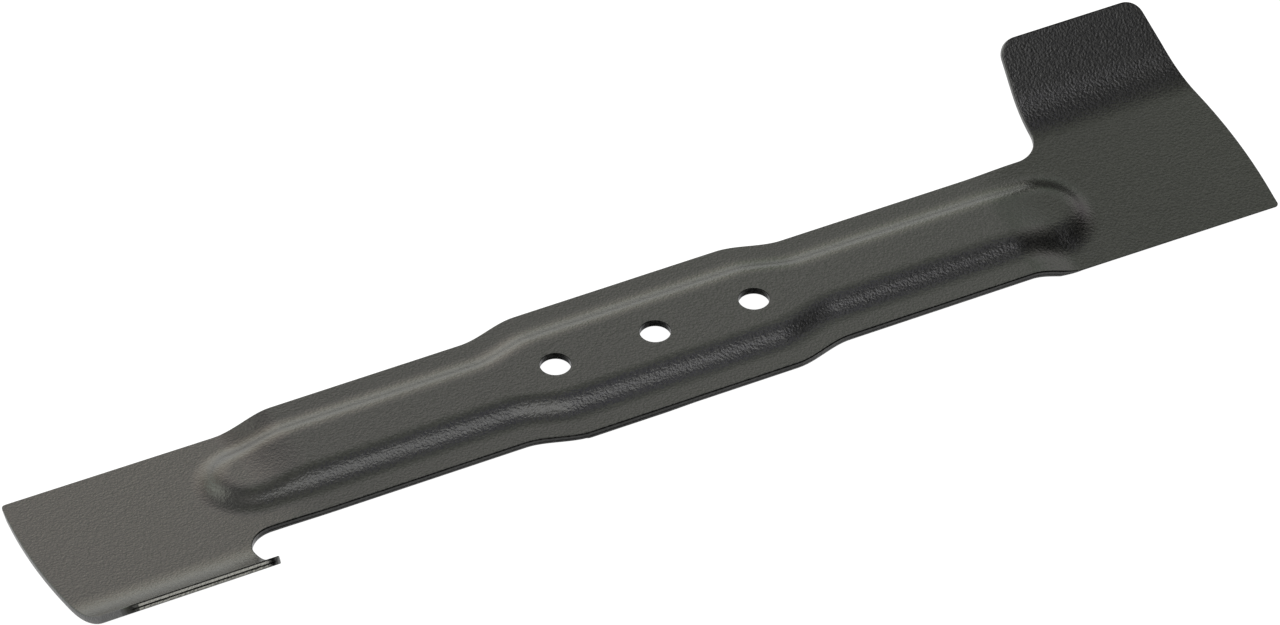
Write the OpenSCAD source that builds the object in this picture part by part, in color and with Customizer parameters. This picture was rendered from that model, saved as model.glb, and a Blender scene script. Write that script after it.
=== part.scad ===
// Rotary lawn mower blade pressed from one strip of sheet steel, the same when turned half round
// about its centre hole. A raised rib runs along the middle, the ends are twisted so that the
// cutting edges are lowest, and a wing behind each cutting edge is bent up.
// Millimetres, +Z up. The blade lies on the heels of its two bevels. The origin is under the
// centre hole. Positive X, negative Y is a cutting side, positive X, positive Y a wing side.

/* [Sheet] */
// thickness of the steel sheet
sheet_thickness = 2.5; // [2:0.1:3]
// rounding of the sheared edges, outside and round the holes
edge_radius = 0.4; // [0.2:0.05:0.5]

/* [Bar] */
// length from tip to tip, the diameter of the circle that the tips sweep
blade_length = 430; // [400:1:460]
// width of the middle, where the holes are
centre_width = 58.8; // [56:0.2:64]
// width of the two arms
arm_width = 49.8; // [49:0.2:52]
// distance from the centre at which the middle starts to narrow
waist_start = 36; // [34:0.5:44]
// length over which the middle narrows to the arm
waist_run = 21; // [14:0.5:28]

/* [Rib] */
// height of the rib above the flanges
rib_height = 3.7; // [2:0.1:5]
// width of each sloping wall of the rib
rib_wall_width = 13.2; // [12:0.1:14]
// width of the flat flange between the rib and the edge of the arm
flange_width = 5.7; // [5:0.1:6.2]
// distance that the round end of the rib reaches past the wing's inner side
rib_reach = 5.7; // [5:0.1:6.4]

/* [Holes] */
// diameter of the centre hole
centre_hole_diameter = 10; // [8:0.5:12]
// diameter of the two outer holes
outer_hole_diameter = 10; // [8:0.5:12]
// distance between the two outer holes
outer_hole_spacing = 70; // [60:1:76]

/* [Twisted ends] */
// angle by which each end is tipped, cutting edge down
tip_angle = 6.7; // [4:0.1:9]
// distance from the centre line to the line about which the end is tipped
tip_pivot = 20; // [16:0.5:24]
// length over which the arm turns into the tipped end
twist_run = 19.8; // [16:0.2:26]
// length from the end of the twist to the start of the notch
twist_gap = 1.3; // [0.5:0.1:3]
// distance that the cutting edge stands out past the arm at its outer end
edge_flare = 0.65; // [0:0.05:1.5]
// radius of the outer corner of the cutting edge
tip_corner_radius = 1.5; // [1:0.1:2]

/* [Cutting bevel] */
// width of the bevel ground on the underside
bevel_width = 5; // [4:0.1:6]
// thickness left at the cutting edge
edge_land = 0.4; // [0.3:0.05:0.7]
// length of the bevel from the tip circle, run-out included
bevel_length = 81; // [74:0.5:84]
// length over which the bevel runs out at its inner end
bevel_runout = 7.5; // [5:0.5:10]

/* [Wing] */
// length of the wing from its inner side to the tip circle
wing_length = 61.5; // [56:0.5:66]
// radius of the notch between the arm and the wing
notch_radius = 9.8; // [9:0.1:10.4]
// distance from the centre line to the start of the bend
bend_start = 29.2; // [28:0.1:31]
// radius of the bend on its upper side
bend_radius = 28.4; // [24:0.2:32]
// angle of the bend
wing_angle = 40.2; // [30:0.2:50]
// height of the flat part of the wing beyond the bend
wing_height = 17.2; // [14:0.2:22]
// radius of the wing's inner corner
inner_corner_radius = 6; // [4:0.2:8]
// radius of the wing's outer corner
outer_corner_radius = 6.8; // [4:0.2:8]

/* [Hidden] */

// subdivisions: waist, twist, half of a rib wall, cutting edge beyond the arm, tip corner, tip arc,
// columns of the wing, lower notch, upper notch, bend, wing corners
waist_steps = 9;
twist_steps = 9;
wall_steps = 5;
lead_steps = 6;
corner_steps = 3;
arc_steps = 5;
wing_columns = 5;
notch_steps = 5;
upper_notch_steps = 4;
bend_steps = 6;
wing_corner_steps = 5;
bore_facets = 96;
rim_steps = 4;
// rounding left at the ground cutting edge
keen_radius = 0.1;
// step used for the slope of the sheet
slope_step = 0.01;
// distance by which a cutter overshoots the sheet
cut_margin = 1;

tip_radius = blade_length / 2;
centre_half = centre_width / 2;
arm_half = arm_width / 2;
notch_x = tip_radius - wing_length;
fillet_x = notch_x - notch_radius;
fillet_v = arm_half + notch_radius;
fillet_turn = asin((fillet_v - bend_start) / notch_radius);
twist_end = fillet_x - twist_gap;
twist_start = twist_end - twist_run;
foot_radius = arm_half - flange_width;
nose_x = notch_x + rib_reach - foot_radius;
wall_slope = 2 * atan(rib_height / rib_wall_width);
wall_radius = rib_wall_width / (2 * sin(wall_slope));
bevel_start = tip_radius - bevel_length;
heel_v = bevel_width - arm_half - edge_flare;
bend_length = bend_radius * wing_angle * PI / 180;
bend_end = bend_start + bend_length;
wing_top = bend_end + wing_height;
rest_height = tan(tip_angle) * (tip_pivot - heel_v) + sheet_thickness * cos(tip_angle);

function clamp01(u) = max(0, min(1, u));
function ease(u) = let(c = clamp01(u)) c * c * (3 - 2 * c);
function mix(a, b, u) = a + (b - a) * u;

// half width of the bar without the flare, and with it on the cutting side
function bar_half(x) = mix(centre_half, arm_half, ease((x - waist_start) / waist_run));
function lead_half(x) =
    bar_half(x) + edge_flare * max(0, (x - twist_start) / (tip_radius - twist_start));

// share of the twist reached at x, and share of the bevel
function twist(x) = ease((x - twist_start) / twist_run);
function bevel(x) = clamp01((x - bevel_start) / bevel_runout);

// height of the rib at a distance s inwards of its foot
function wall_height(s) =
    s <= 0 ? 0
    : s < rib_wall_width / 2 ? wall_radius - sqrt(wall_radius * wall_radius - s * s)
    : s < rib_wall_width
        ? rib_height - wall_radius
          + sqrt(wall_radius * wall_radius - pow(rib_wall_width - s, 2))
    : rib_height;
function foot_distance(x, v) =
    x < nose_x ? bar_half(x) - flange_width - abs(v) : foot_radius - norm([x - nose_x, v]);

// upper side of the sheet: x along the blade, v across it along the sheet
function flat_height(x, v) = -tan(tip_angle) * twist(x) * (tip_pivot - v);
function bend_point(x, v) =
    let(
        turn = min((v - bend_start) / bend_radius * 180 / PI, wing_angle),
        beyond = max(0, v - bend_end),
        across = bend_radius * sin(turn) + beyond * cos(turn),
        up = bend_radius * (1 - cos(turn)) + beyond * sin(turn)
    )
    [
        x,
        bend_start + across * cos(tip_angle) - up * sin(tip_angle),
        flat_height(x, bend_start) + across * sin(tip_angle) + up * cos(tip_angle)
    ];
function upper(x, v) =
    v > bend_start ? bend_point(x, v)
    : [x, v, flat_height(x, v) + wall_height(foot_distance(x, v))];
function unit(p) = p / norm(p);
function sheet_normal(x, v) =
    unit(cross(
        upper(x + slope_step, v) - upper(x - slope_step, v),
        upper(x, v + slope_step) - upper(x, v - slope_step)
    ));
function sheet_point(x, v, depth) =
    upper(x, v) - depth * sheet_normal(x, v) + [0, 0, rest_height];

// depth of the underside, less where the bevel is ground away
function under_depth(x, v) =
    let(out = lead_half(x) + heel_v, share = bevel(x))
    sheet_thickness
    - (sheet_thickness - edge_land) * max(0, share - max(0, v + lead_half(x)) / out);

// outline points: x, v, outward direction in the sheet, share of the bevel
function arc_point(cx, cv, r, a) = [cx + r * cos(a), cv + r * sin(a), cos(a), sin(a), 0];
function lead_point(x) = [x, -lead_half(x), 0, -1, bevel(x)];
function trail_point(x) = [x, bar_half(x), 0, 1, 0];
function notch_point(turn) =
    [
        fillet_x + notch_radius * cos(turn),
        fillet_v - notch_radius * sin(turn),
        -cos(turn), sin(turn), 0
    ];
function tip_point(v) = arc_point(0, 0, tip_radius, asin(v / tip_radius));

side_x = concat(
    [0],
    [for (i = [0 : waist_steps]) waist_start + waist_run * i / waist_steps],
    [for (i = [0 : twist_steps - 1]) mix(twist_start, nose_x, i / twist_steps)]
);
side_steps = len(side_x);

lead_corner_v = -lead_half(tip_radius - tip_corner_radius) + tip_corner_radius;
lead_corner_x = sqrt(pow(tip_radius - tip_corner_radius, 2) - pow(lead_corner_v, 2));
lead_corner_turn = atan2(lead_corner_v, lead_corner_x);
wing_corner_v = wing_top - outer_corner_radius;
wing_corner_x = sqrt(pow(tip_radius - outer_corner_radius, 2) - pow(wing_corner_v, 2));
wing_corner_turn = atan2(wing_corner_v, wing_corner_x);

// cutting side and tip, from the centre to the start of the bend
lead_line = concat(
    [for (x = side_x) lead_point(x)],
    [for (i = [0 : lead_steps]) lead_point(mix(nose_x, lead_corner_x, pow(i / lead_steps, 2)))],
    [
        for (i = [1 : corner_steps])
            let(p = arc_point(lead_corner_x, lead_corner_v, tip_corner_radius,
                              mix(-90, lead_corner_turn, i / corner_steps)))
            [p[0], p[1], p[2], p[3], 1]
    ],
    [
        for (i = [0 : arc_steps])
            arc_point(0, 0, tip_radius,
                      mix(asin(heel_v / tip_radius), asin(bend_start / tip_radius), i / arc_steps))
    ]
);
// rows of the wing on its outer and inner sides, from the bend to the top edge
row_v = concat(
    [
        for (i = [1 : upper_notch_steps])
            fillet_v - notch_radius * sin(fillet_turn * (1 - i / upper_notch_steps))
    ],
    [for (i = [1 : bend_steps]) mix(fillet_v, bend_end, i / bend_steps)]
);
outer_side = concat(
    [for (v = row_v) tip_point(v)],
    [
        for (i = [0 : wing_corner_steps])
            arc_point(wing_corner_x, wing_corner_v, outer_corner_radius,
                      mix(wing_corner_turn, 90, i / wing_corner_steps))
    ]
);
inner_side = concat(
    [
        for (i = [1 : upper_notch_steps])
            notch_point(fillet_turn * (1 - i / upper_notch_steps))
    ],
    [for (i = [1 : bend_steps]) [notch_x, row_v[upper_notch_steps + i - 1], -1, 0, 0]],
    [
        for (i = [0 : wing_corner_steps])
            arc_point(notch_x + inner_corner_radius, wing_top - inner_corner_radius,
                      inner_corner_radius, mix(180, 90, i / wing_corner_steps))
    ]
);
wing_rows = len(outer_side);
top_edge = [
    for (i = [1 : wing_columns - 1])
        [mix(wing_corner_x, notch_x + inner_corner_radius, i / wing_columns), wing_top, 0, 1, 0]
];
// lower notch and wing side of the arm, back to the centre
trail_line = concat(
    [for (i = [0 : notch_steps]) notch_point(mix(fillet_turn, 90, i / notch_steps))],
    [trail_point(nose_x)],
    [for (i = [side_steps - 1 : -1 : 1]) trail_point(side_x[i])]
);
outline = concat(
    lead_line,
    outer_side,
    top_edge,
    [for (i = [wing_rows - 1 : -1 : 0]) inner_side[i]],
    trail_line
);

// rounded edge of the sheet at an outline point, from the upper to the lower side
edge_turns = [0, 45, 90];
function edge_shape(p) =
    let(r = mix(edge_radius, keen_radius, p[4]), d = under_depth(p[0], p[1]))
    concat(
        [for (a = edge_turns) [r * (1 - sin(a)), r * (1 - cos(a))]],
        [for (a = edge_turns) [r * (1 - cos(a)), d - r * (1 - sin(a))]]
    );
function edge_points(p) =
    [for (s = edge_shape(p)) sheet_point(p[0] - p[2] * s[0], p[1] - p[3] * s[0], s[1])];
edge_rings = 2 * len(edge_turns);

// stations round the rib: centre of the ray, its direction and the foot's distance along it
lead_count = len(lead_line);
nose_steps = lead_count - side_steps + wing_columns + notch_steps;
stations = concat(
    [for (x = side_x) [x, -90, bar_half(x) - flange_width]],
    [for (i = [0 : nose_steps]) [nose_x, -90 + 180 * i / nose_steps, foot_radius]],
    [
        for (i = [side_steps - 1 : -1 : 1])
            [side_x[i], 90, bar_half(side_x[i]) - flange_width]
    ]
);
station_count = len(stations);
loop_count = len(outline);
wall_rings = 2 * wall_steps + 1;
// distance inwards of the foot for each ring, at equal turns of the wall
function wall_step(i) =
    i <= wall_steps ? wall_radius * sin(wall_slope * i / wall_steps)
    : rib_wall_width - wall_radius * sin(wall_slope * (2 * wall_steps - i) / wall_steps);
function wall_point(station, i, depth) =
    let(r = station[2] - wall_step(i))
    sheet_point(station[0] + r * cos(station[1]), r * sin(station[1]), depth);

// columns of the wing: inner grid between its two sides
function inset(p, d) = [p[0] - p[2] * d, p[1] - p[3] * d];
wing_base_outer = inset(lead_line[lead_count - 1], edge_radius);
wing_base_inner = inset(trail_line[0], edge_radius);
function wing_point(row, column, depth) =
    let(
        a = row == 0 ? wing_base_outer : inset(outer_side[row - 1], edge_radius),
        b = row == 0 ? wing_base_inner : inset(inner_side[row - 1], edge_radius),
        p = mix(a, b, column / wing_columns)
    )
    sheet_point(p[0], p[1], depth);

// ring on the underside along the heel of the bevel, and a little way in from the other edges.
// Beyond the twist the heel is one straight line, with points at its inner and outer end only.
heel_gap = 2 * edge_radius;
heel_inner = side_steps + 1;
heel_outer = side_steps + lead_steps + corner_steps + 1;
// rays of the rib's end that run to the inner end of the heel
heel_rays = 2;
function heel_end(i) =
    i <= heel_inner || i >= heel_outer ? i
    : i <= side_steps + heel_rays ? heel_inner
    : heel_outer;
function heel_place(i) =
    i <= heel_inner
        ? let(p = lead_line[i])
          [p[0], p[1] + max(heel_gap, bevel(p[0]) * (lead_half(p[0]) + heel_v))]
    : i == heel_outer ? [lead_line[i][0] - heel_gap, heel_v]
    : i < lead_count ? inset(lead_line[i], heel_gap)
    : i < lead_count + wing_columns - 1
        ? mix(wing_base_outer, wing_base_inner, (i - lead_count + 1) / wing_columns)
          - [0, heel_gap]
    : inset(trail_line[i - lead_count - wing_columns + 1], heel_gap);

// point numbers
function turned(p, half) = half == 0 ? p : [-p[0], -p[1], p[2]];
upper_wall_start = 2 * loop_count * edge_rings;
lower_wall_start = upper_wall_start + 2 * station_count * wall_rings;
heel_number_start = lower_wall_start + 2 * station_count * wall_rings;
wing_start = heel_number_start + 2 * station_count;
wing_layer = wing_rows * (wing_columns - 1);
function edge_number(k, ring) = (k % (2 * loop_count)) * edge_rings + ring;
function wall_number(start, i, ring) =
    start + (i % (2 * station_count)) * wall_rings + ring;
function heel_number(i) =
    let(half = floor(i / station_count) % 2)
    heel_number_start + half * station_count + heel_end(i % station_count);
// wing grid: row 0 is the start of the bend, column 0 the outer side, side 0 the upper face
function wing_number(half, side, row, column) =
    let(k = half * loop_count + lead_count - 1, ring = side * (edge_rings - 1))
    column == 0 ? edge_number(k + row, ring)
    : row == wing_rows ? edge_number(k + wing_rows + column, ring)
    : column == wing_columns
        ? edge_number(k + 2 * wing_rows + wing_columns - row, ring)
    : wing_start + (2 * half + side) * wing_layer + row * (wing_columns - 1) + column - 1;
function border_number(i, side) =
    let(
        half = floor(i / station_count) % 2,
        j = i % station_count,
        ring = side * (edge_rings - 1),
        past = j - lead_count + 1
    )
    past <= 0 ? edge_number(half * loop_count + j, ring)
    : past < wing_columns ? wing_number(half, side, 0, past)
    : edge_number(half * loop_count + j + 2 * wing_rows, ring);

// two triangles for four points in turn, or one where two of the points are the same
function pair(a, b, c, d) =
    [for (f = [[a, b, c], [a, c, d]]) if (f[0] != f[1] && f[1] != f[2] && f[2] != f[0]) f];
function pair_under(a, b, c, d) = pair(d, c, b, a);
plate_steps = floor(station_count / 2);

module blade_sheet() {
    points = concat(
        [for (h = [0, 1], p = outline, q = edge_points(p)) turned(q, h)],
        [
            for (h = [0, 1], s = stations, i = [0 : wall_rings - 1])
                turned(wall_point(s, i, 0), h)
        ],
        [
            for (h = [0, 1], s = stations, i = [0 : wall_rings - 1])
                turned(wall_point(s, i, sheet_thickness), h)
        ],
        [
            for (h = [0, 1], i = [0 : station_count - 1])
                let(p = heel_place(heel_end(i)))
                turned(sheet_point(p[0], p[1], sheet_thickness), h)
        ],
        [
            for (h = [0, 1], side = [0, 1], row = [0 : wing_rows - 1],
                 column = [1 : wing_columns - 1])
                turned(wing_point(row, column, side * sheet_thickness), h)
        ]
    );
    edge_faces = [
        for (k = [0 : 2 * loop_count - 1], r = [0 : edge_rings - 2])
            each pair(edge_number(k, r), edge_number(k + 1, r),
                      edge_number(k + 1, r + 1), edge_number(k, r + 1))
    ];
    wall_faces = [
        for (i = [0 : 2 * station_count - 1], r = [0 : wall_rings - 2])
            each concat(
                pair(wall_number(upper_wall_start, i, r + 1),
                     wall_number(upper_wall_start, i + 1, r + 1),
                     wall_number(upper_wall_start, i + 1, r),
                     wall_number(upper_wall_start, i, r)),
                pair_under(wall_number(lower_wall_start, i, r + 1),
                           wall_number(lower_wall_start, i + 1, r + 1),
                           wall_number(lower_wall_start, i + 1, r),
                           wall_number(lower_wall_start, i, r))
            )
    ];
    flange_faces = [
        for (i = [0 : 2 * station_count - 1])
            each concat(
                pair(wall_number(upper_wall_start, i, 0),
                     wall_number(upper_wall_start, i + 1, 0),
                     border_number(i + 1, 0), border_number(i, 0)),
                pair_under(wall_number(lower_wall_start, i, 0),
                           wall_number(lower_wall_start, i + 1, 0),
                           heel_number(i + 1), heel_number(i)),
                pair_under(heel_number(i), heel_number(i + 1),
                           border_number(i + 1, 1), border_number(i, 1))
            )
    ];
    crest = wall_rings - 1;
    plateau_faces = [
        for (h = [0, 1], i = [0 : plate_steps - 1])
            let(
                near = h * station_count + i,
                far = (h + 1) * station_count - i,
                up = [for (n = [near, near + 1, far - 1, far])
                          wall_number(upper_wall_start, n, crest)],
                down = [for (n = [near, near + 1, far - 1, far])
                            wall_number(lower_wall_start, n, crest)]
            )
            each far - 1 == near + 1
                ? [[up[3], up[1], up[0]], [down[0], down[1], down[3]]]
                : concat(pair(up[3], up[2], up[1], up[0]),
                         pair_under(down[3], down[2], down[1], down[0]))
    ];
    wing_faces = [
        for (h = [0, 1], r = [0 : wing_rows - 1], c = [0 : wing_columns - 1])
            each concat(
                pair(wing_number(h, 0, r, c), wing_number(h, 0, r, c + 1),
                     wing_number(h, 0, r + 1, c + 1), wing_number(h, 0, r + 1, c)),
                pair_under(wing_number(h, 1, r, c), wing_number(h, 1, r, c + 1),
                           wing_number(h, 1, r + 1, c + 1), wing_number(h, 1, r + 1, c))
            )
    ];
    polyhedron(
        points = points,
        faces = concat(edge_faces, wall_faces, flange_faces, plateau_faces, wing_faces),
        convexity = 8
    );
}

// round hole through the middle with both rims rounded
plateau_top = rest_height + rib_height;
plateau_under = plateau_top - sheet_thickness;
module rim_cutter(radius) {
    rotate_extrude($fn = bore_facets)
        polygon(concat(
            [[0, -edge_radius], [0, cut_margin], [radius + edge_radius, cut_margin]],
            [
                for (i = [0 : rim_steps])
                    [
                        radius + edge_radius * (1 - sin(90 * i / rim_steps)),
                        edge_radius * (cos(90 * i / rim_steps) - 1)
                    ]
            ]
        ));
}
module bore_cutter(diameter) {
    translate([0, 0, plateau_under - cut_margin])
        cylinder(h = sheet_thickness + 2 * cut_margin, d = diameter, $fn = bore_facets);
    translate([0, 0, plateau_top])
        rim_cutter(diameter / 2);
    translate([0, 0, plateau_under])
        mirror([0, 0, 1])
            rim_cutter(diameter / 2);
}

module blade() {
    color("#4b4c48")
        difference() {
            blade_sheet();
            bore_cutter(centre_hole_diameter);
            for (side = [-1, 1])
                translate([side * outer_hole_spacing / 2, 0, 0])
                    bore_cutter(outer_hole_diameter);
        }
}

blade();
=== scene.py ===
"""Rotary lawn mower blade in a textured dark coating, lying on a pale studio floor.

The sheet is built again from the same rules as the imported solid, on a finer grid and with the
sloping break of a sheared edge. Sizes are millimetres until build() turns them into metres. The
blade lies along x. One end is modelled, and the other is its copy turned half a turn about z.
"""

import math

import bpy
import numpy as np
from mathutils import Matrix, Vector
from mathutils.geometry import delaunay_2d_cdt


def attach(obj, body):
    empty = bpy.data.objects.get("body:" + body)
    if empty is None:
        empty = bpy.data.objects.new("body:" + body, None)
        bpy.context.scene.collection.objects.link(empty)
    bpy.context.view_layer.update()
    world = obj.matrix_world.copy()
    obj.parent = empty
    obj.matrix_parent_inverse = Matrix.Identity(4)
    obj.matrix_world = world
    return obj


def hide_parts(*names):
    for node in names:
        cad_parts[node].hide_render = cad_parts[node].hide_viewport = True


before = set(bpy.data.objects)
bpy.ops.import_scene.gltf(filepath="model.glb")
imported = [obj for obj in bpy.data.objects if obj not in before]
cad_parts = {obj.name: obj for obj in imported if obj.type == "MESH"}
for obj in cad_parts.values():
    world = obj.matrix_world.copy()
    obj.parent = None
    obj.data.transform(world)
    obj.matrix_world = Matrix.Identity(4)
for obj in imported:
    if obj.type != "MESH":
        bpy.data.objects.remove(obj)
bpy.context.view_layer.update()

PER_METRE = 1000

# sheet, with the radii of its edges, of its ground edge and of the hole rims
SHEET = 2.5
EDGE_RADIUS = 0.4
KEEN_RADIUS = 0.1
RIM_RADIUS = 0.15
# share of the edge radius that the lower part of a sheared face slopes inward
BREAK_SLOPE = 0.25
# bar
TIP_RADIUS = 214.999
CENTRE_HALF = 29.4
ARM_HALF = 24.9
WAIST_START = 36.0
WAIST_RUN = 21.0
# rib
RIB_HEIGHT = 3.7
WALL_WIDTH = 13.2
FLANGE = 5.7
RIB_REACH = 5.7
# holes: x and radius
HOLES = [(-35.0, 5.0), (0.0, 5.0), (35.0, 5.0)]
# twisted ends
TIP_ANGLE = math.radians(6.7)
TIP_PIVOT = 20.0
TWIST_RUN = 19.8
TWIST_GAP = 1.3
EDGE_FLARE = 0.65
TIP_CORNER = 1.5
# cutting bevel
BEVEL_WIDTH = 5.0
EDGE_LAND = 0.4
BEVEL_LENGTH = 81.0
BEVEL_RUNOUT = 7.5
# wing
WING_LENGTH = 61.5
NOTCH_RADIUS = 9.8
BEND_START = 29.2
BEND_RADIUS = 28.4
WING_ANGLE = math.radians(40.2)
WING_HEIGHT = 17.2
INNER_CORNER = 6.0
OUTER_CORNER = 6.8

NOTCH_X = TIP_RADIUS - WING_LENGTH
FILLET_X = NOTCH_X - NOTCH_RADIUS
FILLET_V = ARM_HALF + NOTCH_RADIUS
FILLET_TURN = math.asin((FILLET_V - BEND_START) / NOTCH_RADIUS)
TWIST_END = FILLET_X - TWIST_GAP
TWIST_START = TWIST_END - TWIST_RUN
FOOT_RADIUS = ARM_HALF - FLANGE
NOSE_X = NOTCH_X + RIB_REACH - FOOT_RADIUS
WALL_SLOPE = 2 * math.atan(RIB_HEIGHT / WALL_WIDTH)
WALL_RADIUS = WALL_WIDTH / (2 * math.sin(WALL_SLOPE))
BEVEL_START = TIP_RADIUS - BEVEL_LENGTH
HEEL_V = BEVEL_WIDTH - ARM_HALF - EDGE_FLARE
BEND_END = BEND_START + BEND_RADIUS * WING_ANGLE
WING_TOP = BEND_END + WING_HEIGHT
REST_HEIGHT = math.tan(TIP_ANGLE) * (TIP_PIVOT - HEEL_V) + SHEET * math.cos(TIP_ANGLE)
PLATEAU_TOP = REST_HEIGHT + RIB_HEIGHT

# stations along the middle and the arm, where the outline is straight
MIDDLE_X = [0.0, 10.0, 20.0, 29.0]
ARM_X = [68.0, 84.0, 100.0, 112.0]

# subdivisions
WAIST_STEPS, TWIST_STEPS, WALL_STEPS = 28, 28, 9
LEAD_STEPS, CORNER_STEPS, ARC_STEPS = 16, 6, 20
COLUMNS, NOTCH_STEPS, UPPER_NOTCH = 14, 12, 8
BEND_STEPS, WING_CORNER, FLANGE_STEPS = 18, 12, 5
EDGE_STEPS, HOLE_FACETS, RIM_STEPS = 5, 96, 5
PLATEAU_STEPS = 8
RING_WIDTH = 0.6  # of the band of triangles round each hole

# levels of the sheared face, as shares of the way between its rims
LEVELS = np.array([0.08, 0.42, 0.53, 0.64, 0.78])
# how much painted shade darkens each row of an edge, from the upper rim to the lower one, and how
# much painted highlight lightens each row on the end of the wing
SHADE_ROWS = [0, 0.5, 1, 1, 1, 0.5, 0.3, 0.3, 1, 1, 0.3, 0.3, 0.3, 0.5, 0.5, 0.3, 0]
HIGHLIGHT_ROWS = [0, 0, 0, 0, 0, 0, 0.9, 0.9, 0, 0, 1, 1, 1, 1, 1, 1, 0]
HIGHLIGHT_OVERRUN = 3  # outline points by which the pale lines run into the wing's corners
# share of an edge's outward direction that lies along the blade, from which its rows of painted
# shade fade and at which they are gone
FADE_START, FADE_END = 0.5, 0.75

DIFFERENCE = 0.01  # step for the slopes of the sheet
WELD = 0.002  # cell in which points become one
MERGE = 1e-7


def ease(u):
    c = np.clip(u, 0, 1)
    return c * c * (3 - 2 * c)


def mix(a, b, u):
    return a + (b - a) * u


def bar_half(x):
    return mix(CENTRE_HALF, ARM_HALF, ease((x - WAIST_START) / WAIST_RUN))


def lead_half(x):
    out = np.maximum(0, (x - TWIST_START) / (TIP_RADIUS - TWIST_START))
    return bar_half(x) + EDGE_FLARE * out


def bevel(x):
    return np.clip((x - BEVEL_START) / BEVEL_RUNOUT, 0, 1)


def wall_height(s):
    low = WALL_RADIUS - np.sqrt(np.maximum(0, WALL_RADIUS**2 - s**2))
    rest = WALL_WIDTH - s
    high = RIB_HEIGHT - WALL_RADIUS + np.sqrt(np.maximum(0, WALL_RADIUS**2 - rest**2))
    out = np.where(s < WALL_WIDTH / 2, low, high)
    return np.where(s <= 0, 0.0, np.where(s >= WALL_WIDTH, RIB_HEIGHT, out))


def foot_distance(x, v):
    along = bar_half(x) - FLANGE - np.abs(v)
    return np.where(x < NOSE_X, along, FOOT_RADIUS - np.hypot(x - NOSE_X, v))


def flat_height(x, v):
    return -math.tan(TIP_ANGLE) * ease((x - TWIST_START) / TWIST_RUN) * (TIP_PIVOT - v)


def upper(x, v):
    """Upper side of the sheet: x along the blade, v across it along the sheet."""
    past = np.maximum(0, v - BEND_START)
    turn = np.minimum(past / BEND_RADIUS, WING_ANGLE)
    beyond = np.maximum(0, v - BEND_END)
    across = BEND_RADIUS * np.sin(turn) + beyond * np.cos(turn)
    up = BEND_RADIUS * (1 - np.cos(turn)) + beyond * np.sin(turn)
    c, s = math.cos(TIP_ANGLE), math.sin(TIP_ANGLE)
    bent = v > BEND_START
    y = np.where(bent, BEND_START + across * c - up * s, v)
    flat = flat_height(x, v) + wall_height(foot_distance(x, v))
    z = np.where(bent, flat_height(x, BEND_START) + across * s + up * c, flat)
    return np.stack([x, y, z], -1)


def sheet_point(x, v, depth):
    """A point at a depth below the upper side, measured square to the sheet."""
    x, v, depth = np.broadcast_arrays(np.asarray(x, float), v, depth)
    along = upper(x + DIFFERENCE, v) - upper(x - DIFFERENCE, v)
    across = upper(x, v + DIFFERENCE) - upper(x, v - DIFFERENCE)
    normal = np.cross(along, across)
    normal /= np.linalg.norm(normal, axis=-1, keepdims=True)
    return upper(x, v) - depth[..., None] * normal + [0, 0, REST_HEIGHT]


def under_depth(x, v):
    """Thickness of the sheet, which tapers to EDGE_LAND at the ground edge."""
    out = lead_half(x) + HEEL_V
    share = bevel(x) - np.maximum(0, v + lead_half(x)) / out
    return SHEET - (SHEET - EDGE_LAND) * np.maximum(0, share)


# outline points: x, v, outward direction in the sheet, share of the bevel
def arc_point(cx, cv, r, a):
    return [cx + r * math.cos(a), cv + r * math.sin(a), math.cos(a), math.sin(a), 0]


def lead_point(x):
    return [x, -float(lead_half(x)), 0, -1, float(bevel(x))]


def trail_point(x):
    return [x, float(bar_half(x)), 0, 1, 0]


def notch_point(turn):
    c, s = math.cos(turn), math.sin(turn)
    return [FILLET_X + NOTCH_RADIUS * c, FILLET_V - NOTCH_RADIUS * s, -c, s, 0]


side_x = list(MIDDLE_X)
side_x += [WAIST_START + WAIST_RUN * i / WAIST_STEPS for i in range(WAIST_STEPS + 1)]
side_x += ARM_X
side_x += [mix(TWIST_START, NOSE_X, i / TWIST_STEPS) for i in range(TWIST_STEPS)]

corner_v = -float(lead_half(TIP_RADIUS - TIP_CORNER)) + TIP_CORNER
corner_x = math.sqrt((TIP_RADIUS - TIP_CORNER) ** 2 - corner_v**2)
corner_turn = math.atan2(corner_v, corner_x)
wing_v = WING_TOP - OUTER_CORNER
wing_x = math.sqrt((TIP_RADIUS - OUTER_CORNER) ** 2 - wing_v**2)
wing_turn = math.atan2(wing_v, wing_x)


def steps(n, first=0):
    return [i / n for i in range(first, n + 1)]


lead_line = [lead_point(x) for x in side_x]
lead_line += [lead_point(mix(NOSE_X, corner_x, u**2)) for u in steps(LEAD_STEPS)]
for u in steps(CORNER_STEPS, 1):
    p = arc_point(corner_x, corner_v, TIP_CORNER, mix(-math.pi / 2, corner_turn, u))
    lead_line.append(p[:4] + [1])
a0, a1 = math.asin(HEEL_V / TIP_RADIUS), math.asin(BEND_START / TIP_RADIUS)
heel_outer = len(lead_line)
lead_line += [arc_point(0, 0, TIP_RADIUS, mix(a0, a1, u)) for u in steps(ARC_STEPS)]

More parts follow.
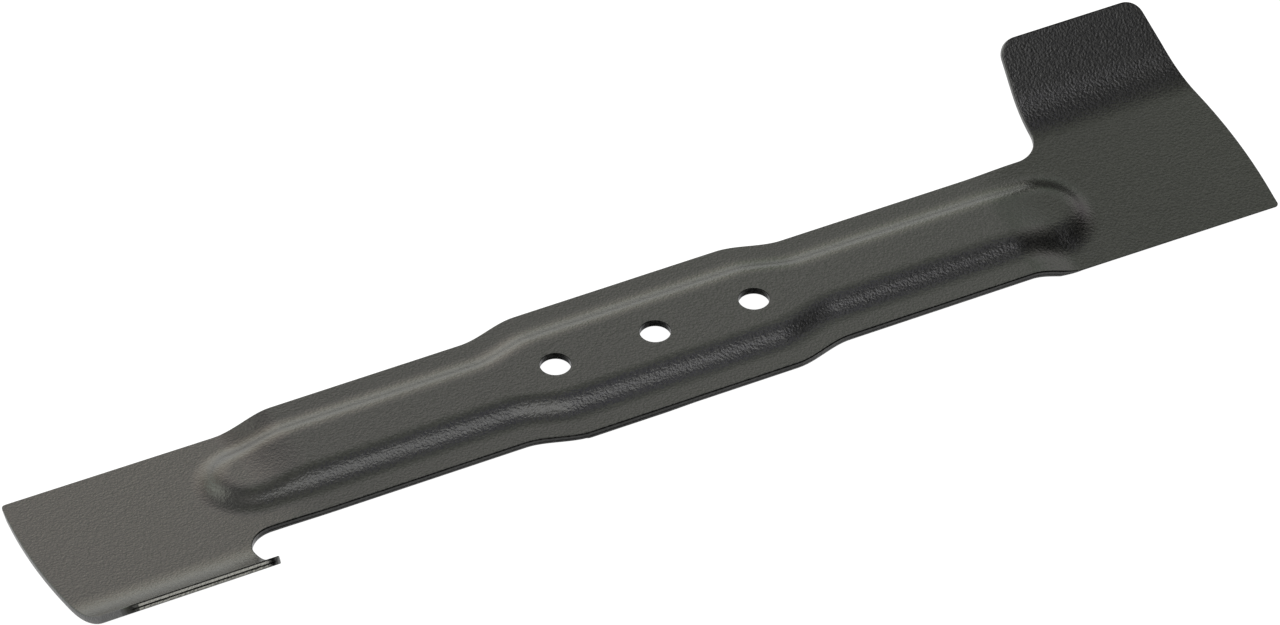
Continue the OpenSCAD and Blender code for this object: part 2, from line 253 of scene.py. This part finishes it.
row_v = [
    FILLET_V - NOTCH_RADIUS * math.sin(FILLET_TURN * (1 - u)) for u in steps(UPPER_NOTCH, 1)
]
row_v += [mix(FILLET_V, BEND_END, u) for u in steps(BEND_STEPS, 1)]
outer_side = [arc_point(0, 0, TIP_RADIUS, math.asin(v / TIP_RADIUS)) for v in row_v]
outer_side += [
    arc_point(wing_x, wing_v, OUTER_CORNER, mix(wing_turn, math.pi / 2, u))
    for u in steps(WING_CORNER)
]
inner_side = [notch_point(FILLET_TURN * (1 - u)) for u in steps(UPPER_NOTCH, 1)]
inner_side += [[NOTCH_X, v, -1, 0, 0] for v in row_v[UPPER_NOTCH:]]
inner_side += [
    arc_point(
        NOTCH_X + INNER_CORNER,
        WING_TOP - INNER_CORNER,
        INNER_CORNER,
        mix(math.pi, math.pi / 2, u),
    )
    for u in steps(WING_CORNER)
]
top_edge = [
    [mix(wing_x, NOTCH_X + INNER_CORNER, i / COLUMNS), WING_TOP, 0, 1, 0]
    for i in range(1, COLUMNS)
]
trail_line = [notch_point(mix(FILLET_TURN, math.pi / 2, u)) for u in steps(NOTCH_STEPS)]
trail_line += [trail_point(NOSE_X)] + [trail_point(x) for x in side_x[:0:-1]]
outline = np.array(lead_line + outer_side + top_edge + inner_side[::-1] + trail_line)
lead_line, trail_line = np.array(lead_line), np.array(trail_line)
outer_side, inner_side = np.array(outer_side), np.array(inner_side)

patches = []


def patch(grid, highlight=0.0, painted_shade=0.0):
    """A grid of points, rows by columns, to be joined as quads, and its two marks: painted
    highlight and painted shade.
    """
    marks = [np.broadcast_to(m, grid.shape[:2]) for m in (highlight, painted_shade)]
    patches.append((np.asarray(grid, float), np.stack(marks, -1)))


def turned(g):
    """The same points on the other end of the blade."""
    return g * [-1, -1, 1]


def ring(g):
    """A grid along half of the blade, closed round both halves."""
    return np.concatenate([g, turned(g), g[:1]])


# sheared and ground edge, in rows from the upper rim to the lower one
turns = np.linspace(0, math.pi / 2, EDGE_STEPS + 1)
radius = mix(EDGE_RADIUS, KEEN_RADIUS, outline[:, 4])[:, None]
thick = under_depth(outline[:, 0], outline[:, 1])[:, None]
lower_rim = radius * (1 - BREAK_SLOPE)
broken = np.maximum(0, LEVELS - LEVELS[1]) / (1 - LEVELS[1])
inward = [radius * (1 - np.sin(turns)), radius * BREAK_SLOPE * broken]
depth = [radius * (1 - np.cos(turns)), mix(radius, thick - lower_rim, LEVELS)]
inward.append(radius * BREAK_SLOPE + lower_rim * (1 - np.cos(turns)))
depth.append(thick - lower_rim * (1 - np.sin(turns)))
inward, depth = np.concatenate(inward, 1), np.concatenate(depth, 1)
edge = sheet_point(
    outline[:, :1] - outline[:, 2:3] * inward, outline[:, 1:2] - outline[:, 3:4] * inward, depth
)
# painted highlight: pale rows on the end face of each wing; painted shade: dark rows along the
# other edges, fading where an edge faces along the blade
highlight = np.zeros(edge.shape[:2])
fade = (FADE_END - np.abs(outline[:, 2:3])) / (FADE_END - FADE_START)
painted_shade = np.array(SHADE_ROWS) * np.clip(fade, 0, 1)
first = len(lead_line) + len(outer_side)
wing_end = slice(first - HIGHLIGHT_OVERRUN, first + len(top_edge) + HIGHLIGHT_OVERRUN)
highlight[wing_end] = HIGHLIGHT_ROWS
painted_shade[wing_end] = np.maximum(SHADE_ROWS, HIGHLIGHT_ROWS)
highlight, painted_shade = (np.concatenate([m, m, m[:1]]) for m in (highlight, painted_shade))
patch(ring(edge), highlight, painted_shade)
last = edge.shape[1] - 1

# rib wall, both sides of the sheet
nose_steps = len(lead_line) - len(side_x) + COLUMNS + NOTCH_STEPS
stations = [[x, -math.pi / 2, float(bar_half(x)) - FLANGE] for x in side_x]
stations += [
    [NOSE_X, -math.pi / 2 + math.pi * i / nose_steps, FOOT_RADIUS] for i in range(nose_steps + 1)
]
stations += [[x, math.pi / 2, float(bar_half(x)) - FLANGE] for x in side_x[:0:-1]]
stations = np.array(stations)
half_turns = [WALL_RADIUS * math.sin(WALL_SLOPE * u) for u in steps(WALL_STEPS)]
wall_in = np.array(half_turns + [WALL_WIDTH - s for s in half_turns[-2::-1]])
reach = stations[:, 2:3] - wall_in
wall_x = stations[:, :1] + reach * np.cos(stations[:, 1:2])
wall_v = reach * np.sin(stations[:, 1:2])
walls = [sheet_point(wall_x, wall_v, d) for d in (0, SHEET)]
for wall in walls:
    patch(ring(wall))

# flange between the rib and the edge
count = len(stations)
base_outer = lead_line[-1, :2] - lead_line[-1, 2:4] * EDGE_RADIUS
base_inner = trail_line[0, :2] - trail_line[0, 2:4] * EDGE_RADIUS
base = np.array([mix(base_outer, base_inner, i / COLUMNS) for i in range(1, COLUMNS)])


def inset(line, d):
    """Outline points moved inward."""
    return line[:, :2] - line[:, 2:4] * d


r_lead = mix(EDGE_RADIUS, KEEN_RADIUS, lead_line[:, 4:5])
border = np.concatenate([inset(lead_line, r_lead), base, inset(trail_line, EDGE_RADIUS)])
foot = np.stack([wall_x[:, 0], wall_v[:, 0]], -1)
across = np.linspace(0, 1, FLANGE_STEPS + 1)[None, :, None]
top = mix(foot[:, None], border[:, None], across)
patch(ring(sheet_point(top[..., 0], top[..., 1], 0)))
# the underside meets the heel of the bevel, or stops short of the edge where there is no bevel
gap = 2 * EDGE_RADIUS
end_x = lead_line[heel_outer, 0]
heel = []
for i, p in enumerate(lead_line):
    x = p[0]
    if i > len(side_x) - 1:
        x = NOSE_X + (x - NOSE_X) * (end_x - gap - NOSE_X) / (end_x - NOSE_X)
    if i <= heel_outer:
        side = float(lead_half(x))
        heel.append([x, -side + max(gap, float(bevel(x)) * (side + HEEL_V))])
    else:
        heel.append(list(p[:2] - p[2:4] * gap))
heel = np.concatenate([heel, base - [0, gap], inset(trail_line, gap)])
low = mix(foot[:, None], heel[:, None], across)
low = sheet_point(low[..., 0], low[..., 1], SHEET)
patch(ring(low))
n_lead = len(lead_line)
after = len(outline) - len(trail_line)
base_low = sheet_point(base[:, 0], base[:, 1], SHEET)
rim_low = np.concatenate([edge[:n_lead, last], base_low, edge[after:, last]])
patch(ring(np.stack([low[:, -1], rim_low], 1)))

# plateau of the rib: strips outside the holes, a triangulated field round them
n_mid = sum(1 for x in side_x if x <= WAIST_START + WAIST_RUN)
near = np.arange(n_mid - 1, count // 2 + 1)
for wall in walls:
    crest = np.concatenate([wall[:, -1], turned(wall[:1, -1])])
    pair = np.stack([crest[near], crest[count - near]], 1)
    share = np.linspace(0, 1, PLATEAU_STEPS + 1)
    strip = mix(pair[:, :1], pair[:, 1:], share[None, :, None])
    patch(strip)
    patch(turned(strip))
    half = crest[:n_mid]
    z = half[0, 2]
    south = np.concatenate([half[:0:-1] * [-1, 1, 1], half])[:, :2]
    seam = mix(south[-1:], south[-1:] * [1, -1], share[1:-1, None])
    loop = np.concatenate([south, seam, south[::-1] * [1, -1], seam * -1])
    angle = np.arange(HOLE_FACETS) * 2 * math.pi / HOLE_FACETS
    circle = np.stack([np.cos(angle), np.sin(angle)], -1)
    field = list(loop)
    seams = [(i, (i + 1) % len(loop)) for i in range(len(loop))]
    for x, r in HOLES:
        for rr in (r + RIM_RADIUS, r + RIM_RADIUS + RING_WIDTH):
            start = len(field)
            field += list(circle * rr + [x, 0])
            seams += [
                (start + i, start + (i + 1) % HOLE_FACETS) for i in range(HOLE_FACETS)
            ]
    made = delaunay_2d_cdt([Vector(p) for p in field], seams, [], 0, MERGE, False)
    verts = np.array([list(p) for p in made[0]])
    for tri in made[2]:
        c = verts[list(tri)].mean(0)
        clear = all(math.hypot(c[0] - x, c[1]) > r + RIM_RADIUS for x, r in HOLES)
        if clear and abs(c[1]) < float(bar_half(abs(c[0]))) - FLANGE - WALL_WIDTH:
            a, b, d = [[*verts[k], z] for k in tri]
            patch(np.array([[a, b], [d, d]]))

# hole walls with rounded rims, blackened below the upper rim by painted shade
for x, r in HOLES:
    top_z, low_z = PLATEAU_TOP, PLATEAU_TOP - SHEET
    rim = np.linspace(0, math.pi / 2, RIM_STEPS + 1)
    rr = r + RIM_RADIUS * (1 - np.sin(rim))
    zz = RIM_RADIUS * (1 - np.cos(rim))
    profile = [(a, top_z - b) for a, b in zip(rr, zz)]
    profile += [(a, low_z + b) for a, b in zip(rr[::-1], zz[::-1])]
    angle = np.arange(HOLE_FACETS + 1) % HOLE_FACETS * 2 * math.pi / HOLE_FACETS
    grid = [[[x + a * math.cos(t), a * math.sin(t), b] for a, b in profile] for t in angle]
    patch(np.array(grid), 0, [min(1, i) for i in range(len(profile))])

# wing, both sides of the sheet
for level in (0, 1):
    outer = np.concatenate([[base_outer], inset(outer_side, EDGE_RADIUS)])
    inner = np.concatenate([[base_inner], inset(inner_side, EDGE_RADIUS)])
    u = np.linspace(0, 1, COLUMNS + 1)[None, :, None]
    g = mix(outer[:, None], inner[:, None], u)
    g = sheet_point(g[..., 0], g[..., 1], level * SHEET)
    patch(g)
    patch(turned(g))


def build(name):
    """One closed mesh from the patches, welded, in metres, with area-weighted normals."""
    keys, verts, marks, faces = {}, [], [], []

    def number(p, mark):
        """The index of the point that lies at p, which a first visit makes."""
        cell = tuple(np.round(p / WELD).astype(int))
        for dx in (0, -1, 1):
            for dy in (0, -1, 1):
                for dz in (0, -1, 1):
                    k = keys.get((cell[0] + dx, cell[1] + dy, cell[2] + dz))
                    if k is not None:
                        return k
        keys[cell] = len(verts)
        verts.append(p / PER_METRE)
        marks.append(mark)
        return keys[cell]

    for grid, marked in patches:
        rows, cols = grid.shape[:2]
        ids = [[number(grid[i, j], marked[i, j]) for j in range(cols)] for i in range(rows)]
        for i in range(rows - 1):
            for j in range(cols - 1):
                quad = [ids[i][j], ids[i][j + 1], ids[i + 1][j + 1], ids[i + 1][j]]
                face = [k for n, k in enumerate(quad) if k != quad[n - 1]]
                if len(set(face)) == len(face) > 2:
                    faces.append(face)
    mesh = bpy.data.meshes.new(name)
    mesh.from_pydata([tuple(v) for v in verts], [], faces)
    mesh.update()
    obj = bpy.data.objects.new(name, mesh)
    bpy.context.scene.collection.objects.link(obj)
    bpy.context.view_layer.objects.active = obj
    obj.select_set(True)
    bpy.ops.object.mode_set(mode="EDIT")
    bpy.ops.mesh.select_all(action="SELECT")
    bpy.ops.mesh.normals_make_consistent(inside=False)
    bpy.ops.object.mode_set(mode="OBJECT")
    obj.select_set(False)
    mesh.shade_smooth()
    normals = np.zeros((len(mesh.vertices), 3))
    for f in mesh.polygons:
        for k in f.vertices:
            normals[k] += np.array(f.normal) * f.area
    normals /= np.linalg.norm(normals, axis=1, keepdims=True)
    mesh.normals_split_custom_set_from_vertices([tuple(n) for n in normals])
    # the marks of painted highlight and painted shade, read by the coat's shader
    for i, layer in enumerate(("painted_highlight_edge", "painted_shade_mark")):
        values = mesh.attributes.new(layer, "FLOAT", "POINT")
        values.data.foreach_set("value", np.array(marks, float)[:, i])
    return obj


blade = build("blade_coated")


class Nodes:
    """Short helpers for a node tree."""

    def __init__(self, tree):
        self.tree = tree
        self.tree.nodes.clear()

    def add(self, kind, **values):
        node = self.tree.nodes.new(kind)
        for k, v in values.items():
            setattr(node, k, v)
        return node

    def link(self, a, b):
        self.tree.links.new(a, b)

    def math(self, operation, a, b=0.0):
        node = self.add("ShaderNodeMath", operation=operation)
        for socket, value in zip(node.inputs, (a, b)):
            if isinstance(value, (int, float)):
                socket.default_value = value
            else:
                self.link(value, socket)
        return node.outputs[0]

    def ramp(self, value, low, high, a, b):
        node = self.add("ShaderNodeMapRange", interpolation_type="SMOOTHSTEP")
        self.link(value, node.inputs["Value"])
        for name, v in zip(("From Min", "From Max", "To Min", "To Max"), (low, high, a, b)):
            node.inputs[name].default_value = v
        return node.outputs["Result"]


def noise(n, coordinates, scale, detail):
    node = n.add("ShaderNodeTexNoise")
    n.link(coordinates, node.inputs["Vector"])
    node.inputs["Scale"].default_value = scale
    node.inputs["Detail"].default_value = detail
    return node.outputs["Fac"]


# coat: scales of its textures in cells a metre, colours, roughness and height of the bumps
CLOUD_SCALE, FINE_SCALE, GRAIN_SCALE, PEEL_SCALE = 28, 900, 1250, 450
COAT_DARK = (0.0008, 0.0008, 0.0008, 1)
COAT_LIGHT = (0.0090, 0.0090, 0.0084, 1)
# painted highlight: the pale colour given to the marked rows on each wing's end face
PAINTED_HIGHLIGHT = (0.14, 0.139, 0.13, 1)
ROUGH_LOW, ROUGH_HIGH, ROUGH_FINE = 0.276, 0.29, 0.01
PEEL_SHARE = 0.35
BUMP_HEIGHT = 0.00013


def coated_steel():
    """Dark powder coat with an orange-peel skin, with painted shade and a painted highlight where
    the mesh is marked.
    """
    mat = bpy.data.materials.new("coated_steel")
    mat.use_nodes = True
    n = Nodes(mat.node_tree)
    out = n.add("ShaderNodeOutputMaterial")
    skin = n.add("ShaderNodeBsdfPrincipled")
    n.link(skin.outputs[0], out.inputs[0])
    place = n.add("ShaderNodeTexCoord").outputs["Object"]
    cloud = noise(n, place, CLOUD_SCALE, 3)
    fine = noise(n, place, FINE_SCALE, 2)
    grain = noise(n, place, GRAIN_SCALE, 1)
    highlight = n.add("ShaderNodeAttribute", attribute_name="painted_highlight_edge").outputs["Fac"]
    tint = n.add("ShaderNodeMix", data_type="RGBA")
    speck = n.math("ADD", n.ramp(grain, 0.4, 0.6, 0, 0.85), n.ramp(cloud, 0.3, 0.7, 0, 0.15))
    n.link(speck, tint.inputs["Factor"])
    tint.inputs["A"].default_value = COAT_DARK
    tint.inputs["B"].default_value = COAT_LIGHT
    # painted highlight: rows marked on the wing's end face take a pale colour
    highlight_mix = n.add("ShaderNodeMix", data_type="RGBA")
    n.link(n.ramp(highlight, 0.3, 1.0, 0, 1), highlight_mix.inputs["Factor"])
    n.link(tint.outputs["Result"], highlight_mix.inputs["A"])
    highlight_mix.inputs["B"].default_value = PAINTED_HIGHLIGHT
    n.link(highlight_mix.outputs["Result"], skin.inputs["Base Color"])
    # painted shade: where marked, metal with the coat's own near-black colour reflects less than
    # the coat does
    painted_shade_mask = n.add("ShaderNodeAttribute", attribute_name="painted_shade_mark").outputs["Fac"]
    n.link(painted_shade_mask, skin.inputs["Metallic"])
    cloudy = n.ramp(cloud, 0.3, 0.7, ROUGH_LOW, ROUGH_HIGH)
    n.link(n.math("ADD", n.ramp(fine, 0.3, 0.7, 0, ROUGH_FINE), cloudy), skin.inputs["Roughness"])
    skin.inputs["IOR"].default_value = 1.5
    peel = n.math("MULTIPLY", noise(n, place, PEEL_SCALE, 1), PEEL_SHARE)
    bump = n.add("ShaderNodeBump")
    bump.inputs["Strength"].default_value = 1.0
    bump.inputs["Distance"].default_value = BUMP_HEIGHT
    n.link(n.math("ADD", grain, peel), bump.inputs["Height"])
    n.link(bump.outputs[0], skin.inputs["Normal"])
    return mat


blade.data.materials.append(coated_steel())
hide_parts("blade")
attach(blade, "root")


# studio, with its floor in metres
FLOOR_HALF = 6
FLOOR_GREY = (0.12, 0.12, 0.12, 1)


def floor():
    """A pale floor that glows enough to be white in the picture."""
    mesh = bpy.data.meshes.new("floor")
    corners = [(-1, -1), (1, -1), (1, 1), (-1, 1)]
    corners = [(x * FLOOR_HALF, y * FLOOR_HALF, 0) for x, y in corners]
    mesh.from_pydata(corners, [], [(0, 1, 2, 3)])
    obj = bpy.data.objects.new("floor", mesh)
    bpy.context.scene.collection.objects.link(obj)
    mat = bpy.data.materials.new("floor")
    mat.use_nodes = True
    skin = mat.node_tree.nodes["Principled BSDF"]
    skin.inputs["Base Color"].default_value = FLOOR_GREY
    skin.inputs["Roughness"].default_value = 0.9
    skin.inputs["Specular IOR Level"].default_value = 0.0
    skin.inputs["Emission Color"].default_value = (1, 1, 1, 1)
    skin.inputs["Emission Strength"].default_value = 1.0
    mesh.materials.append(mat)


floor()

world = bpy.data.worlds.new("studio")
bpy.context.scene.world = world
world.use_nodes = True
sky_nodes = Nodes(world.node_tree)
sky = sky_nodes.add("ShaderNodeTexCoord").outputs["Generated"]

# soft glows from afar: bearing from +Y towards +X, height and reach in degrees, and colour times
# strength
GLOWS = [
    (-110, 10, 42, (0.40, 0.39, 0.39)),
    (-75, 10, 42, (0.54, 0.54, 0.33)),
    (-45, 10, 42, (1.08, 1.32, 1.22)),
    (-160, 40, 42, (1.29, 1.30, 1.18)),
    (180, 40, 42, (0.41, 0.41, 0.45)),
    (-135, 70, 42, (1.33, 1.30, 1.20)),
    (-30, -2, 24, (0.69, 0.71, 0.65)),
    (10, -2, 24, (1.48, 1.57, 1.50)),
    (-40, 18, 24, (0.66, 0.68, 0.48)),
    (0, 18, 24, (1.31, 1.13, 0.91)),
    (20, 18, 24, (0.58, 0.56, 0.46)),
    (40, 18, 24, (0.15, 0.29, 0.14)),
    (60, 18, 24, (1.03, 0.92, 0.97)),
    (-40, 38, 24, (2.45, 2.39, 2.12)),
    (10, 38, 24, (1.35, 1.26, 1.27)),
    (35, 38, 24, (0.24, 0.27, 0.27)),
    (60, 38, 24, (0.72, 0.73, 0.64)),
    (-30, 58, 24, (0.32, 0.33, 0.36)),
    (30, 58, 24, (0.79, 0.84, 0.67)),
]
# soft boxes overhead: middle x and y and size in millimetres, colour times strength
BOX_HEIGHT = 600
BOXES = [
    (-175, -700, 150, 200, (0.73, 0.72, 0.66)),
    (-175, -480, 150, 180, (0.63, 0.61, 0.62)),
    (-175, -300, 150, 160, (0.73, 0.70, 0.77)),
    (-175, -150, 150, 130, (0.67, 0.66, 0.80)),
    (-25, -700, 150, 200, (2.60, 2.56, 2.40)),
    (-25, -480, 150, 180, (1.57, 1.55, 1.49)),
    (-25, -300, 150, 160, (2.10, 2.10, 2.12)),
    (-25, -150, 150, 130, (3.80, 3.86, 3.73)),
    (125, -700, 150, 200, (3.20, 3.16, 3.00)),
    (125, -480, 150, 180, (1.20, 1.19, 1.14)),
    (125, -300, 150, 160, (1.93, 1.92, 2.09)),
    (125, -150, 150, 130, (3.36, 3.40, 3.42)),
    (125, 90, 150, 90, (0.22, 0.20, 0.73)),
    (275, -700, 150, 200, (0.84, 0.84, 0.86)),
    (275, -480, 150, 180, (1.73, 1.72, 1.78)),
    (275, -300, 150, 160, (1.64, 1.56, 2.01)),
    (275, 90, 150, 90, (0.85, 0.79, 1.32)),
    (425, -300, 150, 160, (0.45, 0.46, 0.48)),
    (425, -20, 150, 130, (0.20, 0.22, 0.31)),
    (220, -210, 240, 70, (5.00, 5.00, 5.05)),
    (60, -565, 200, 140, (3.20, 3.15, 3.00)),
]


def bearing(azimuth, height):
    """Unit vector towards a bearing and height in degrees."""
    a, e = math.radians(azimuth), math.radians(height)
    return Vector((math.sin(a) * math.cos(e), math.cos(a) * math.cos(e), math.sin(e)))


def glow(direction, reach, colour):
    """A soft round patch of sky, brightest in one direction."""
    dot = sky_nodes.add("ShaderNodeVectorMath", operation="DOT_PRODUCT")
    sky_nodes.link(sky, dot.inputs[0])
    dot.inputs[1].default_value = direction
    patch_of_sky = sky_nodes.add("ShaderNodeBackground")
    patch_of_sky.inputs["Color"].default_value = (*colour, 1)
    edge_cosine = math.cos(math.radians(reach))
    strength = sky_nodes.ramp(dot.outputs["Value"], edge_cosine, 1, 0, 1)
    sky_nodes.link(strength, patch_of_sky.inputs["Strength"])
    return patch_of_sky.outputs[0]


total = None
for azimuth, height, reach, colour in GLOWS:
    part = glow(bearing(azimuth, height), reach, colour)
    if total is not None:
        both = sky_nodes.add("ShaderNodeAddShader")
        sky_nodes.link(total, both.inputs[0])
        sky_nodes.link(part, both.inputs[1])
        part = both.outputs[0]
    total = part
sky_nodes.link(total, sky_nodes.add("ShaderNodeOutputWorld").inputs[0])

for i, (x, y, width, length, colour) in enumerate(BOXES):
    lamp = bpy.data.lights.new("soft_box_%d" % i, "AREA")
    lamp.shape = "RECTANGLE"
    lamp.size, lamp.size_y = width / PER_METRE, length / PER_METRE
    strength = max(colour)
    lamp.color = [c / strength for c in colour]
    lamp.energy = math.pi * strength * lamp.size * lamp.size_y
    box = bpy.data.objects.new("soft_box_%d" % i, lamp)
    box.location = (x / PER_METRE, y / PER_METRE, BOX_HEIGHT / PER_METRE)
    bpy.context.scene.collection.objects.link(box)

# camera at the photograph's angle. In the photograph's pixels: the focal length, the image size
# and where the point at REST_HEIGHT above the origin lies
AZIMUTH, ELEVATION = math.radians(25.858), math.radians(42.605)
FOCAL = math.exp(8.829707)
IMAGE_WIDTH, IMAGE_HEIGHT = 1280, 625
CENTRE_X, CENTRE_Y = 655.176, 339.756
PIXELS_PER_MM = 3.15
DISTANCE = FOCAL / PIXELS_PER_MM
SENSOR_WIDTH = 36
ahead = Vector(
    (
        math.sin(AZIMUTH) * math.cos(ELEVATION),
        math.cos(AZIMUTH) * math.cos(ELEVATION),
        -math.sin(ELEVATION),
    )
)
right = Vector((math.cos(AZIMUTH), -math.sin(AZIMUTH), 0))
top_way = right.cross(ahead)
aside = (CENTRE_X - IMAGE_WIDTH / 2) / FOCAL * DISTANCE
above = -(CENTRE_Y - IMAGE_HEIGHT / 2) / FOCAL * DISTANCE
eye = Vector((0, 0, REST_HEIGHT)) - ahead * DISTANCE - right * aside - top_way * above
lens = bpy.data.cameras.new("camera")
lens.sensor_width = SENSOR_WIDTH
lens.lens = SENSOR_WIDTH * FOCAL / IMAGE_WIDTH
lens.clip_start, lens.clip_end = 0.1, 50
camera = bpy.data.objects.new("camera", lens)
bpy.context.scene.collection.objects.link(camera)
rows = [[right[i], top_way[i], -ahead[i], eye[i] / PER_METRE] for i in range(3)]
camera.matrix_world = Matrix(rows + [[0, 0, 0, 1]])
bpy.context.scene.camera = camera
bpy.context.scene.view_settings.view_transform = "Standard"
